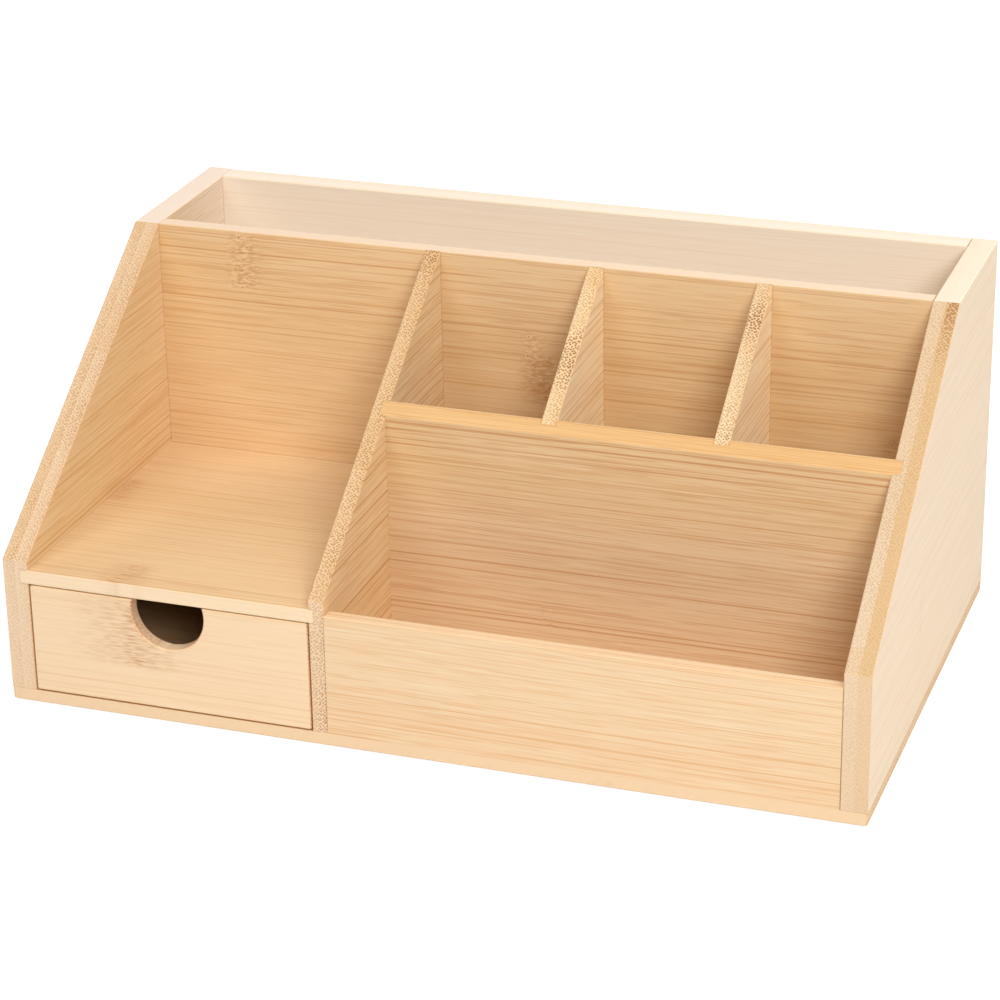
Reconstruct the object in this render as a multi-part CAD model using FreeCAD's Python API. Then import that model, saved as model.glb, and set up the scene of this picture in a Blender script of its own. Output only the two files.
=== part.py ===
import FreeCAD, Part
import os

# A desk organizer made of bamboo boards. Two sloped side panels stand on a full base.
# Between them are an open bay over a drawer, a tray behind a low front board, three pen
# pockets, and a deep trough across the back. Board ends are let into their neighbours.
# The origin is the middle of the underside: X to the right, Y to the back, Z up, in mm.

# Carcass boards
width = 330.0
depth = 203.0
height = 148.0
slope_run = 130.0                # from the front to where the slope reaches the top
side_lip = 3.4                   # how far the upright front of the sides passes the shelf
base_thickness = 5.0
side_thickness = 10.0
back_thickness = 10.0
inner_back_thickness = 6.5

# Boards that divide the inside
divider_thickness = 6.0
shelf_thickness = 5.6
front_board_thickness = 5.5
pocket_wall_thickness = 6.0
pen_divider_thickness = 6.0

# Clear room between the boards
drawer_bay_width = 112.4
drawer_bay_height = 44.0
front_board_drop = 5.5           # how far the tray's front stays below the slope's foot
tray_depth = 61.7
pen_pocket_width = 59.6          # the two left pockets; the right one takes what is left

# Housings: how far a board's end is let into its neighbour
shelf_into_side = 3.0
shelf_into_divider = 2.0
pocket_wall_into_divider = 2.5
pocket_wall_into_side = 3.0
pen_divider_into_wall = 2.5

# Sanded edges
edge_ease = 0.6
flush_ease = 0.4                 # where a board ends flush with its neighbours
base_corner = 1.2

# Drawer box
drawer_gap = 0.5                 # beside and above the drawer
drawer_floor_gap = 0.4
drawer_stop_gap = 0.5            # behind the drawer when it is shut
drawer_front_thickness = 5.5
drawer_wall_thickness = 5.0
drawer_wall_drop = 4.0           # how far the walls stay below the top of the front
drawer_wall_into_front = 2.0
drawer_back_into_wall = 1.5
drawer_bottom_thickness = 3.0
drawer_bottom_rise = 3.0         # under the bottom sheet, inside the walls
drawer_groove = 2.0
drawer_corner = 0.9

# Finger notch in the drawer front: a round bore whose centre lies under the top edge
notch_radius = 14.5
notch_drop = 4.0
notch_chamfer = 0.4

# Brads: flat wire pins with a T head, set just below the surface
brad_width = 1.3
brad_depth = 1.0
brad_head_width = 2.2
brad_head_height = 0.5
brad_set = 0.3
brad_length = 15.0
drawer_brad_length = 12.0
drawer_brad_shares = (0.3, 0.75)  # of the wall's height above the bottom sheet

near = 0.001                     # how close a point has to be to count as on a face

# Planes that several boards share
left = -width / 2
right = width / 2
front = -depth / 2
back = depth / 2
inner_left = left + side_thickness
inner_right = right - side_thickness
slope_end = front + slope_run
trough_front = slope_end + inner_back_thickness
trough_back = back - back_thickness
divider_left = inner_left + drawer_bay_width
divider_right = divider_left + divider_thickness
shelf_bottom = base_thickness + drawer_bay_height
shelf_top = shelf_bottom + shelf_thickness
front_height = shelf_top + side_lip
front_board_top = front_height - front_board_drop
front_board_back = front + front_board_thickness
wall_front = front_board_back + tray_depth
wall_back = wall_front + pocket_wall_thickness
pen_divider_lefts = [
    divider_right + pen_pocket_width,
    divider_right + 2 * pen_pocket_width + pen_divider_thickness,
]


def slope_height(y):
    return front_height + (height - front_height) * (y - front) / slope_run


def block(x0, x1, y0, y1, z0, z1):
    return Part.makeBox(x1 - x0, y1 - y0, z1 - z0, FreeCAD.Vector(x0, y0, z0))


def sawn_board(x0, x1, outline):
    # a board of even thickness in X, sawn to an outline of (y, z) points
    corners = [FreeCAD.Vector(x0, y, z) for y, z in outline]
    face = Part.Face(Part.makePolygon(corners + corners[:1]))
    return face.extrude(FreeCAD.Vector(x1 - x0, 0, 0))


def on(value, plane):
    return abs(value - plane) < near


def ease(board, radius, wanted):
    # sand round the edges whose middle point is wanted
    edges = [edge for edge in board.Edges if wanted(edge.CenterOfMass)]
    return board.makeFillet(radius, edges)


def wire(wide, low, high):
    # a stretch of flat wire standing along Z, wide in X
    return block(-wide / 2, wide / 2, -brad_depth / 2, brad_depth / 2, low, high)


def drive_in(solid, head, drive, across):
    # turn a solid that was made along Z the way that its brad goes in
    turn = FreeCAD.Rotation(across, drive.cross(across), drive, "ZXY")
    solid.Placement = FreeCAD.Placement(head, turn)
    return solid


def brad(head, drive, across, length):
    tee = wire(brad_head_width, 0, brad_head_height)
    shank = wire(brad_width, brad_head_height, length)
    return drive_in(tee.fuse(shank).removeSplitter(), head, drive, across)


def brad_hole(head, drive, across):
    # the slot that the head leaves when it is set below the surface
    return drive_in(wire(brad_head_width, -brad_set, 0), head, drive, across)


def cut_all(board, tools):
    for tool in tools:
        board = board.cut(tool)
    return board


# Housed boards first, as they also cut their own housings

def make_shelf():
    shelf = block(inner_left - shelf_into_side, divider_left + shelf_into_divider,
                  front, slope_end, shelf_bottom, shelf_top)

    def wanted(p):
        return on(p.y, front) and (on(p.z, shelf_top) or on(p.z, shelf_bottom))
    return ease(shelf, flush_ease, wanted)


def make_pocket_wall():
    outline = [
        (wall_front, base_thickness),
        (wall_back, base_thickness),
        (wall_back, slope_height(wall_back)),
        (wall_front, slope_height(wall_front)),
    ]
    wall = sawn_board(divider_right - pocket_wall_into_divider, inner_right + pocket_wall_into_side, outline)
    middle_x = wall.CenterOfMass.x

    def wanted(p):
        return on(p.x, middle_x) and p.z > base_thickness + near
    return ease(wall, edge_ease, wanted)


def make_pen_divider(x):
    tongue = wall_back - pen_divider_into_wall
    outline = [
        (tongue, base_thickness),
        (slope_end, base_thickness),
        (slope_end, height),
        (tongue, slope_height(tongue)),
    ]
    return ease_sloped_edges(sawn_board(x, x + pen_divider_thickness, outline))


def ease_sloped_edges(board):
    # the two long edges of a sloped front, and those of the upright below it
    faces = (board.BoundBox.XMin, board.BoundBox.XMax)

    def wanted(p):
        sloped = on(p.z, slope_height(p.y)) and p.y < slope_end - near
        upright = on(p.y, front) and p.z > base_thickness + near
        return (sloped or upright) and any(on(p.x, face) for face in faces)
    return ease(board, edge_ease, wanted)


def make_side(outer, inner):
    outline = [
        (front, base_thickness),
        (back, base_thickness),
        (back, height),
        (slope_end, height),
        (front, front_height),
    ]
    side = sawn_board(min(outer, inner), max(outer, inner), outline)

    def wanted(p):
        if on(p.x, outer):
            return p.z > base_thickness + near
        if on(p.x, inner):
            return p.z > base_thickness + near and not on(p.y, back)
        return False
    return ease(side, edge_ease, wanted)


def make_divider():
    outline = [
        (front, base_thickness),
        (slope_end, base_thickness),
        (slope_end, height),
        (front, front_height),
    ]
    return ease_sloped_edges(sawn_board(divider_left, divider_right, outline))


def make_base():
    base = block(left, right, front, back, 0, base_thickness)

    def corner(p):
        return on(p.z, base_thickness / 2)
    base = ease(base, base_corner, corner)

    def rim(p):
        return on(p.z, 0)
    return ease(base, edge_ease, rim)


def make_back():
    panel = block(inner_left, inner_right, trough_back, back, base_thickness, height)

    def wanted(p):
        return on(p.z, height) and not on(p.x, inner_left) and not on(p.x, inner_right)
    return ease(panel, edge_ease, wanted)


def make_inner_back():
    panel = block(inner_left, inner_right, slope_end, trough_front, base_thickness, height)

    def wanted(p):
        return on(p.z, height) and not on(p.x, inner_left) and not on(p.x, inner_right)
    return ease(panel, flush_ease, wanted)


def make_front_board():
    panel = block(divider_right, inner_right, front, front_board_back, base_thickness, front_board_top)

    def wanted(p):
        return on(p.z, front_board_top) and not on(p.x, divider_right) and not on(p.x, inner_right)
    return ease(panel, edge_ease, wanted)


# Drawer, shut, with its front flush with the front of the carcass

drawer_left = inner_left + drawer_gap
drawer_right = divider_left - drawer_gap
drawer_floor = base_thickness + drawer_floor_gap
drawer_top = shelf_bottom - drawer_gap
drawer_front_back = front + drawer_front_thickness
drawer_end = slope_end - drawer_stop_gap
drawer_wall_top = drawer_top - drawer_wall_drop
bottom_low = drawer_floor + drawer_bottom_rise
bottom_high = bottom_low + drawer_bottom_thickness
drawer_middle = (drawer_left + drawer_right) / 2


def make_drawer_bottom():
    x0 = drawer_left + drawer_wall_thickness - drawer_groove
    x1 = drawer_right - drawer_wall_thickness + drawer_groove
    y0 = drawer_front_back - drawer_groove
    y1 = drawer_end - drawer_wall_thickness + drawer_groove
    return block(x0, x1, y0, y1, bottom_low, bottom_high)


def make_drawer_back():
    x0 = drawer_left + drawer_wall_thickness - drawer_back_into_wall
    x1 = drawer_right - drawer_wall_thickness + drawer_back_into_wall
    return block(x0, x1, drawer_end - drawer_wall_thickness, drawer_end, drawer_floor, drawer_wall_top)


def make_drawer_wall(outer, inner):
    y0 = drawer_front_back - drawer_wall_into_front
    wall = block(min(outer, inner), max(outer, inner), y0, drawer_end, drawer_floor, drawer_wall_top)

    def wanted(p):
        return on(p.z, drawer_wall_top) and (on(p.x, outer) or on(p.x, inner))
    return ease(wall, edge_ease, wanted)


def make_drawer_front():
    board = block(drawer_left, drawer_right, front, drawer_front_back, drawer_floor, drawer_top)
    middle_y = front + drawer_front_thickness / 2

    def corner(p):
        return on(p.y, middle_y)
    board = ease(board, drawer_corner, corner)

    def face_rim(p):
        return on(p.y, front)
    board = ease(board, edge_ease, face_rim)
    centre_z = drawer_top - notch_drop
    inward = FreeCAD.Vector(0, 1, 0)
    outward = FreeCAD.Vector(0, -1, 0)
    bore = Part.makeCylinder(notch_radius, drawer_front_thickness,
                             FreeCAD.Vector(drawer_middle, front, centre_z), inward)
    wide = notch_radius + notch_chamfer
    face_cone = Part.makeCone(wide, notch_radius, notch_chamfer,
                              FreeCAD.Vector(drawer_middle, front, centre_z), inward)
    rear_cone = Part.makeCone(wide, notch_radius, notch_chamfer,
                              FreeCAD.Vector(drawer_middle, drawer_front_back, centre_z), outward)
    return cut_all(board, [bore, face_cone, rear_cone])


# Brads: up through the base into the boards that stand on it

up = FreeCAD.Vector(0, 0, 1)
along_x = FreeCAD.Vector(1, 0, 0)
along_y = FreeCAD.Vector(0, 1, 0)
half_side = side_thickness / 2
tray_middle = (front_board_back + wall_front) / 2
pocket_middle = (wall_back + slope_end) / 2
trough_middle = (trough_front + trough_back) / 2
pocket_edges = [divider_right]
for x in pen_divider_lefts:
    pocket_edges += [x, x + pen_divider_thickness]
pocket_edges.append(inner_right)
pocket_centres = [(pocket_edges[i] + pocket_edges[i + 1]) / 2 for i in range(0, len(pocket_edges), 2)]
bay_centre = (inner_left + divider_left) / 2

base_brad_places = []
for x in (left + half_side, right - half_side):
    base_brad_places += [(x, y, along_y) for y in (tray_middle, pocket_middle, trough_middle)]
base_brad_places += [((divider_left + divider_right) / 2, y, along_y) for y in (tray_middle, pocket_middle)]
base_brad_places += [(x + pen_divider_thickness / 2, pocket_middle, along_y) for x in pen_divider_lefts]
base_brad_places += [(x, (front + front_board_back) / 2, along_x) for x in pocket_centres]
base_brad_places += [(x, (wall_front + wall_back) / 2, along_x) for x in pocket_centres]
base_brad_places += [(x, (slope_end + trough_front) / 2, along_x) for x in [bay_centre] + pocket_centres]
base_brad_places += [(x, (trough_back + back) / 2, along_x) for x in [bay_centre] + pocket_centres]

base_brads = []
base_holes = []
for x, y, across in base_brad_places:
    head = FreeCAD.Vector(x, y, brad_set)
    base_brads.append(brad(head, up, across, brad_length))
    base_holes.append(brad_hole(head, up, across))

# Brads through the drawer's walls into the ends of its back

drawer_back_middle = drawer_end - drawer_wall_thickness / 2
brad_span = drawer_wall_top - bottom_high
drawer_brad_heights = [bottom_high + brad_span * share for share in drawer_brad_shares]
drawer_brads = []
drawer_holes = []
for x, way in ((drawer_left + brad_set, 1), (drawer_right - brad_set, -1)):
    for z in drawer_brad_heights:
        head = FreeCAD.Vector(x, drawer_back_middle, z)
        drawer_brads.append(brad(head, along_x * way, up, drawer_brad_length))
        drawer_holes.append(brad_hole(head, along_x * way, up))

# Cut each board to its neighbours

shelf = make_shelf()
pocket_wall = make_pocket_wall()
pen_dividers = [make_pen_divider(x) for x in pen_divider_lefts]
drawer_bottom = make_drawer_bottom()
drawer_back = make_drawer_back()
drawer_walls = [
    make_drawer_wall(drawer_left, drawer_left + drawer_wall_thickness),
    make_drawer_wall(drawer_right, drawer_right - drawer_wall_thickness),
]

parts = {}
parts["base_board"] = cut_all(make_base(), base_brads + base_holes)
parts["left_side"] = cut_all(make_side(left, inner_left), [shelf] + base_brads)
parts["right_side"] = cut_all(make_side(right, inner_right), [pocket_wall] + base_brads)
parts["back_panel"] = cut_all(make_back(), base_brads)
parts["inner_back"] = cut_all(make_inner_back(), base_brads)
parts["centre_divider"] = cut_all(make_divider(), [shelf, pocket_wall] + base_brads)
parts["bay_shelf"] = shelf
parts["tray_front"] = cut_all(make_front_board(), base_brads)
parts["pocket_wall"] = cut_all(pocket_wall, pen_dividers + base_brads)
parts["pen_divider_left"] = cut_all(pen_dividers[0], base_brads)
parts["pen_divider_right"] = cut_all(pen_dividers[1], base_brads)
parts["base_brads"] = Part.makeCompound(base_brads)
parts["drawer_front"] = cut_all(make_drawer_front(), drawer_walls + [drawer_bottom])
let_into_walls = [drawer_bottom, drawer_back] + drawer_brads + drawer_holes
parts["drawer_wall_left"] = cut_all(drawer_walls[0], let_into_walls)
parts["drawer_wall_right"] = cut_all(drawer_walls[1], let_into_walls)
parts["drawer_back"] = cut_all(drawer_back, [drawer_bottom] + drawer_brads)
parts["drawer_bottom"] = drawer_bottom
parts["drawer_brads"] = Part.makeCompound(drawer_brads)

os.makedirs("parts", exist_ok=True)
for name, shape in parts.items():
    shape.exportStep("parts/" + name + ".step")
    print(name, "solids", len(shape.Solids), "valid", shape.isValid(), "volume", round(shape.Volume, 1))
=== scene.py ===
import bpy
import math
from mathutils import Matrix, Vector


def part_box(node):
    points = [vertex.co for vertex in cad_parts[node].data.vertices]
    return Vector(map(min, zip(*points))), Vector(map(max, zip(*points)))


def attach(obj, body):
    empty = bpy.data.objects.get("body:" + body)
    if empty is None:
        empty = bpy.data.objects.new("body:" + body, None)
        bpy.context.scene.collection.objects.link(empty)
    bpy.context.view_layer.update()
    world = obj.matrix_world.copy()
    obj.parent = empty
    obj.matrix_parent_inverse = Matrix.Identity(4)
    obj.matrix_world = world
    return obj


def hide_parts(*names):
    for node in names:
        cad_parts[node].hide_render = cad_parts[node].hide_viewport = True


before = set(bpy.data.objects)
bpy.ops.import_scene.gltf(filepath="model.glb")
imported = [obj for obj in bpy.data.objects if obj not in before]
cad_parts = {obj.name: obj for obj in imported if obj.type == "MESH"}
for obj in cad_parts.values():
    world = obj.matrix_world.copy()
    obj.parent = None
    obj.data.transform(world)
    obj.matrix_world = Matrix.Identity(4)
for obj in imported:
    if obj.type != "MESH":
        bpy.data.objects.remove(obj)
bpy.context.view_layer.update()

# A bamboo desk organizer with a drawer. The boards are the CAD nodes, dressed here as laminated
# bamboo, each with its own culm nodes and streaks. Lengths in the dictionaries are in mm, but
# those of the lamps, the floor and the camera's clipping are in metres.

print("frame loaded,", len(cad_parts), "nodes")

nodeGrid = {"columns": 20, "across": 200, "down": -240}     # where the editor shows a new node


def linear(code):
    # an sRGB hex colour as the linear RGBA that a socket takes
    parts = [int(code[i:i + 2], 16) / 255 for i in (0, 2, 4)]
    return tuple(c / 12.92 if c <= 0.04045 else ((c + 0.055) / 1.055) ** 2.4 for c in parts) + (1.0,)


def perMm(*sizes):
    # turns lengths into units of a pattern, one unit to each of these sizes in mm
    return tuple(1 / size for size in sizes)


def addNode(tree, kind, feeds=(), **settings):
    # feeds go to the open inputs, by place or by name: a node or socket is linked, a value is set
    node = tree.nodes.new(kind)
    row, column = divmod(len(tree.nodes), nodeGrid["columns"])
    node.location = (nodeGrid["across"] * column, nodeGrid["down"] * row)
    for key, value in settings.items():
        setattr(node, key, value)
    openInputs = [socket for socket in node.inputs if socket.enabled]
    for key, feed in (feeds.items() if isinstance(feeds, dict) else enumerate(feeds)):
        if feed is None:
            continue
        byName = isinstance(key, str)
        target = next(s for s in openInputs if s.name == key) if byName else openInputs[key]
        if isinstance(feed, bpy.types.Node):
            feed = next(s for s in feed.outputs if s.enabled)
        if isinstance(feed, bpy.types.NodeSocket):
            tree.links.new(feed, target)
        else:
            target.default_value = feed
    return node


def newGroup(name, kind, inputs, outputs):
    # inputs and outputs: lists of (label, socket type)
    tree = bpy.data.node_groups.new(name, kind)
    for label, socketType in inputs:
        tree.interface.new_socket(label, in_out="INPUT", socket_type=socketType)
    for label, socketType in outputs:
        tree.interface.new_socket(label, in_out="OUTPUT", socket_type=socketType)
    return tree, tree.nodes.new("NodeGroupInput").outputs, tree.nodes.new("NodeGroupOutput").inputs


number, vector, geometry = "NodeSocketFloat", "NodeSocketVector", "NodeSocketGeometry"
maths, vectorMaths, mix = "ShaderNodeMath", "ShaderNodeVectorMath", "ShaderNodeMix"
noise, mapRange, grouped = "ShaderNodeTexNoise", "ShaderNodeMapRange", "ShaderNodeGroup"
combine, separate = "ShaderNodeCombineXYZ", "ShaderNodeSeparateXYZ"
planar, smooth = {"noise_dimensions": "2D"}, {"interpolation_type": "SMOOTHSTEP"}
inColour = {"data_type": "RGBA"}


# Bamboo: patterns in board coordinates, in mm: along the grain, across the face, through the board

lineLook = {
    # (spread, least) of what each lane draws: its place, its width and its strength
    "middle": (0.6, 0.2), "width": (1.0, 0.4), "strength": (0.65, 0.35),
    "runShift": 50.0, "laneShift": 13.7,       # keep the runs of two lanes apart
    "fade": 0.16,                              # how softly a run begins and ends
}


def makeFibreLineGroup():
    # dark vascular bundles that the planer laid open: straight thin lines, one to a lane
    labels = ("Along", "Across", "Spacing", "Width", "Length", "Amount")
    tree, given, result = newGroup("fibreLines", "ShaderNodeTree",
                                   [(label, number) for label in labels], [("Line", number)])
    lane = addNode(tree, maths, (given["Across"], given["Spacing"]), operation="DIVIDE")
    index = addNode(tree, maths, (lane,), operation="FLOOR")
    place = addNode(tree, maths, (lane,), operation="FRACT")
    key = addNode(tree, combine, (index, given["Spacing"]))
    chance = addNode(tree, "ShaderNodeTexWhiteNoise", {"Vector": key}, **planar)
    draws = addNode(tree, "ShaderNodeSeparateColor", (chance.outputs["Color"],)).outputs
    middle = addNode(tree, maths, (draws[0], *lineLook["middle"]), operation="MULTIPLY_ADD")
    offset = addNode(tree, maths, (place, middle), operation="SUBTRACT")
    distance = addNode(tree, maths, (offset,), operation="ABSOLUTE")
    distance = addNode(tree, maths, (distance, given["Spacing"]), operation="MULTIPLY")
    spread = addNode(tree, maths, (draws[1], *lineLook["width"]), operation="MULTIPLY_ADD")
    spread = addNode(tree, maths, (spread, given["Width"]), operation="MULTIPLY")
    profile = addNode(tree, mapRange, (distance, 0.0, spread, 1.0, 0.0), **smooth)
    run = addNode(tree, maths, (given["Along"], given["Length"]), operation="DIVIDE")
    run = addNode(tree, maths, (draws[2], lineLook["runShift"], run), operation="MULTIPLY_ADD")
    row = addNode(tree, maths, (index, lineLook["laneShift"]), operation="MULTIPLY")
    reach = addNode(tree, combine, (run, row))
    shown = addNode(tree, noise, {"Vector": reach, "Scale": 1.0, "Detail": 0.0}, **planar)
    least = addNode(tree, maths, (1.0, given["Amount"]), operation="SUBTRACT")
    most = addNode(tree, maths, (least, lineLook["fade"]), operation="ADD")
    shown = addNode(tree, mapRange, (shown, least, most, 0.0, 1.0), **smooth)
    strength = addNode(tree, maths, (draws[1], *lineLook["strength"]), operation="MULTIPLY_ADD")
    line = addNode(tree, maths, (profile, shown), operation="MULTIPLY")
    line = addNode(tree, maths, (line, strength), operation="MULTIPLY")
    tree.links.new(line.outputs[0], result["Line"])
    return tree


fibreScales = {
    # name: (length along the grain, width across it, noise detail, weight)
    "bands": (260.0, 8.0, 1.0, 0.34),
    "streaks": (110.0, 1.1, 1.0, 0.36),
    "fibres": (22.0, 0.5, 1.0, 0.8),
}
fibreLines = {
    # name: (lane spacing, line width, length, share that shows, strength)
    "long": (3.2, 0.42, 150.0, 0.7, 1.0),
    "middling": (2.1, 0.4, 70.0, 0.56, 0.75),
    "short": (1.1, 0.38, 26.0, 0.52, 0.6),
}
grainLook = {
    "stripShift": 700.0,                       # along the grain, from one strip's pattern to the next
    "seedShift": 57.3,                         # across it, from one ply or board to the next
    "depthStretch": 1.3,                       # edges show the faces' fibres: depth counts as width
    "wave": (150.0, 30.0), "waveHeight": 1.2,  # a slow wave keeps the fibres from being ruled lines
    "stripTone": 0.1,
    "plyStep": 5.3, "boardStep": 3.1,          # between the seeds of two plies and of two boards
}


def makeFibreGroup(lineGroup):
    # the long grain of one board: strips side by side, bands, streaks, fine fibres and dark lines
    tree, given, result = newGroup(
        "bambooFibres", "ShaderNodeTree",
        [("Board", vector), ("Seed", number), ("Strip width", number), ("Strip start", number)],
        [("Tone", number), ("Lines", number)])
    board = addNode(tree, separate, (given["Board"],)).outputs
    strip = addNode(tree, maths, (board[1], given["Strip start"]), operation="SUBTRACT")
    strip = addNode(tree, maths, (strip, given["Strip width"]), operation="DIVIDE")
    strip = addNode(tree, maths, (strip,), operation="FLOOR")
    key = addNode(tree, combine, (strip, given["Seed"]))
    draw = addNode(tree, "ShaderNodeTexWhiteNoise", {"Vector": key}, **planar)
    draw = draw.outputs["Value"]
    along = addNode(tree, maths, (draw, grainLook["stripShift"], board[0]), operation="MULTIPLY_ADD")
    across = addNode(tree, maths, (board[2], grainLook["depthStretch"], board[1]),
                     operation="MULTIPLY_ADD")
    across = addNode(tree, maths, (given["Seed"], grainLook["seedShift"], across),
                     operation="MULTIPLY_ADD")
    slow = addNode(tree, maths, (along, 1 / grainLook["wave"][0]), operation="MULTIPLY")
    wide = addNode(tree, maths, (across, 1 / grainLook["wave"][1]), operation="MULTIPLY")
    wave = addNode(tree, combine, (slow, wide))
    wave = addNode(tree, noise, {"Vector": wave, "Scale": 1.0, "Detail": 0.0}, **planar)
    wave = addNode(tree, maths, (wave, 0.5), operation="SUBTRACT")
    across = addNode(tree, maths, (wave, grainLook["waveHeight"], across), operation="MULTIPLY_ADD")
    point = addNode(tree, combine, (along, across))
    tone = addNode(tree, maths, (draw, 0.5), operation="SUBTRACT")
    tone = addNode(tree, maths, (tone, grainLook["stripTone"]), operation="MULTIPLY")
    for length, width, detail, weight in fibreScales.values():
        scaled = addNode(tree, vectorMaths, (point, perMm(length, width, 1)), operation="MULTIPLY")
        layer = addNode(tree, noise, {"Vector": scaled, "Scale": 1.0, "Detail": detail}, **planar)
        layer = addNode(tree, maths, (layer, 0.5), operation="SUBTRACT")
        tone = addNode(tree, maths, (layer, weight, tone), operation="MULTIPLY_ADD")
    lines = None
    for spacing, width, length, amount, strength in fibreLines.values():
        layer = addNode(tree, grouped,
                        {"Along": along, "Across": across, "Spacing": spacing, "Width": width,
                         "Length": length, "Amount": amount}, node_tree=lineGroup)
        layer = addNode(tree, maths, (layer, strength), operation="MULTIPLY")
        lines = addNode(tree, maths, (lines, layer), operation="MAXIMUM") if lines else layer
    tree.links.new(tone.outputs[0], result["Tone"])
    tree.links.new(lines.outputs[0], result["Lines"])
    return tree


endLook = {
    "stripWidth": 23.0, "plyShift": 7.3,       # each ply is made of strips, out of step with the next
    "dotPitch": 1.12, "dotTurn": 42.0, "dotScatter": 0.55,     # staggered rows, turned in degrees
    "dotSize": (0.25, 0.87), "dotCore": 0.3,   # (spread, least) of the draw, and the solid share
    "coarseSize": 0.3, "coarseDark": 0.45,     # what a place with coarse bundles adds
    "skinDark": (0.6, 1.0), "stripDark": (0.45, 0.75), "darkness": 0.5,
    "patch": 9.0, "patchNoise": (0.35, 0.65), "patchDark": (0.75, 1.0),    # the density wanders
    "tissueScale": 1.9,                        # soft tissue between the bundles, 0.5 mm coarse
    "stripTone": (0.3, -0.15), "skinTone": -0.3,
}


def makeEndGroup():
    # a cut end: pale pith tissue with the bundles as brown dots, closer and darker to the skin side
    labels = ("Across", "Depth", "Seed", "Dot size", "Ply start", "Ply", "Ply tone", "Skin side",
              "Coarse")
    tree, given, result = newGroup(
        "bambooEnds", "ShaderNodeTree",
        [(label, number) for label in labels], [("Dots", number), ("Tone", number)])
    ply = addNode(tree, maths, (given["Depth"], given["Ply start"]), operation="SUBTRACT")
    ply = addNode(tree, maths, (ply, given["Ply"]), operation="DIVIDE")
    index = addNode(tree, maths, (ply,), operation="FLOOR")
    skin = addNode(tree, maths, (ply,), operation="FRACT")
    skin = addNode(tree, maths, (skin, 0.5), operation="SUBTRACT")
    skin = addNode(tree, maths, (skin, given["Skin side"], 0.5), operation="MULTIPLY_ADD")
    # every strip of a ply has its own density and tone
    strip = addNode(tree, maths, (index, endLook["plyShift"], given["Across"]),
                    operation="MULTIPLY_ADD")
    strip = addNode(tree, maths, (strip, endLook["stripWidth"]), operation="DIVIDE")
    strip = addNode(tree, maths, (strip,), operation="FLOOR")
    key = addNode(tree, combine, (strip, index, given["Seed"]))
    draws = addNode(tree, "ShaderNodeTexWhiteNoise", {"Vector": key}, noise_dimensions="3D")
    draws = addNode(tree, "ShaderNodeSeparateColor", (draws.outputs["Color"],)).outputs
    point = addNode(tree, combine, (given["Across"], given["Depth"]))
    turned = addNode(tree, "ShaderNodeVectorRotate",
                     {"Vector": point, "Angle": math.radians(endLook["dotTurn"])},
                     rotation_type="Z_AXIS")
    cells = addNode(tree, "ShaderNodeTexVoronoi",
                    {"Vector": turned, "Scale": 1 / endLook["dotPitch"],
                     "Randomness": endLook["dotScatter"]},
                    voronoi_dimensions="2D").outputs
    cellDraw = addNode(tree, "ShaderNodeSeparateColor", (cells["Color"],)).outputs
    size = addNode(tree, maths, (cellDraw[0], *endLook["dotSize"]), operation="MULTIPLY_ADD")
    size = addNode(tree, maths, (given["Coarse"], endLook["coarseSize"], size),
                   operation="MULTIPLY_ADD")
    size = addNode(tree, maths, (size, given["Dot size"]), operation="MULTIPLY")
    core = addNode(tree, maths, (size, endLook["dotCore"]), operation="MULTIPLY")
    dots = addNode(tree, mapRange, (cells["Distance"], core, size, 1.0, 0.0), **smooth)
    patch = addNode(tree, noise,
                    {"Vector": point, "Scale": 1 / endLook["patch"], "Detail": 0.0}, **planar)
    patch = addNode(tree, mapRange, (patch, *endLook["patchNoise"], *endLook["patchDark"]))
    dark = addNode(tree, mapRange, (skin, 0.0, 1.0, *endLook["skinDark"]))
    dark = addNode(tree, maths, (dark, patch), operation="MULTIPLY")
    stripDark = addNode(tree, maths, (draws[0], *endLook["stripDark"]), operation="MULTIPLY_ADD")
    dark = addNode(tree, maths, (dark, stripDark), operation="MULTIPLY")
    dark = addNode(tree, maths, (dark, endLook["darkness"]), operation="MULTIPLY")
    dark = addNode(tree, maths, (given["Coarse"], endLook["coarseDark"], dark),
                   operation="MULTIPLY_ADD")
    dots = addNode(tree, maths, (dots, dark), operation="MULTIPLY")
    fine = addNode(tree, noise,
                   {"Vector": point, "Scale": endLook["tissueScale"], "Detail": 0.0}, **planar)
    tone = addNode(tree, maths, (draws[1], *endLook["stripTone"]), operation="MULTIPLY_ADD")
    fine = addNode(tree, maths, (fine, 0.5), operation="SUBTRACT")
    tone = addNode(tree, maths, (fine, 1.0, tone), operation="MULTIPLY_ADD")
    tone = addNode(tree, maths, (skin, endLook["skinTone"], tone), operation="MULTIPLY_ADD")
    tone = addNode(tree, maths, (index, given["Ply tone"], tone), operation="MULTIPLY_ADD")
    tree.links.new(dots.outputs[0], result["Dots"])
    tree.links.new(tone.outputs[0], result["Tone"])
    return tree


placeEdge = (0.7, 1.1)      # across and through, a place fades between these shares of its reach


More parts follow.
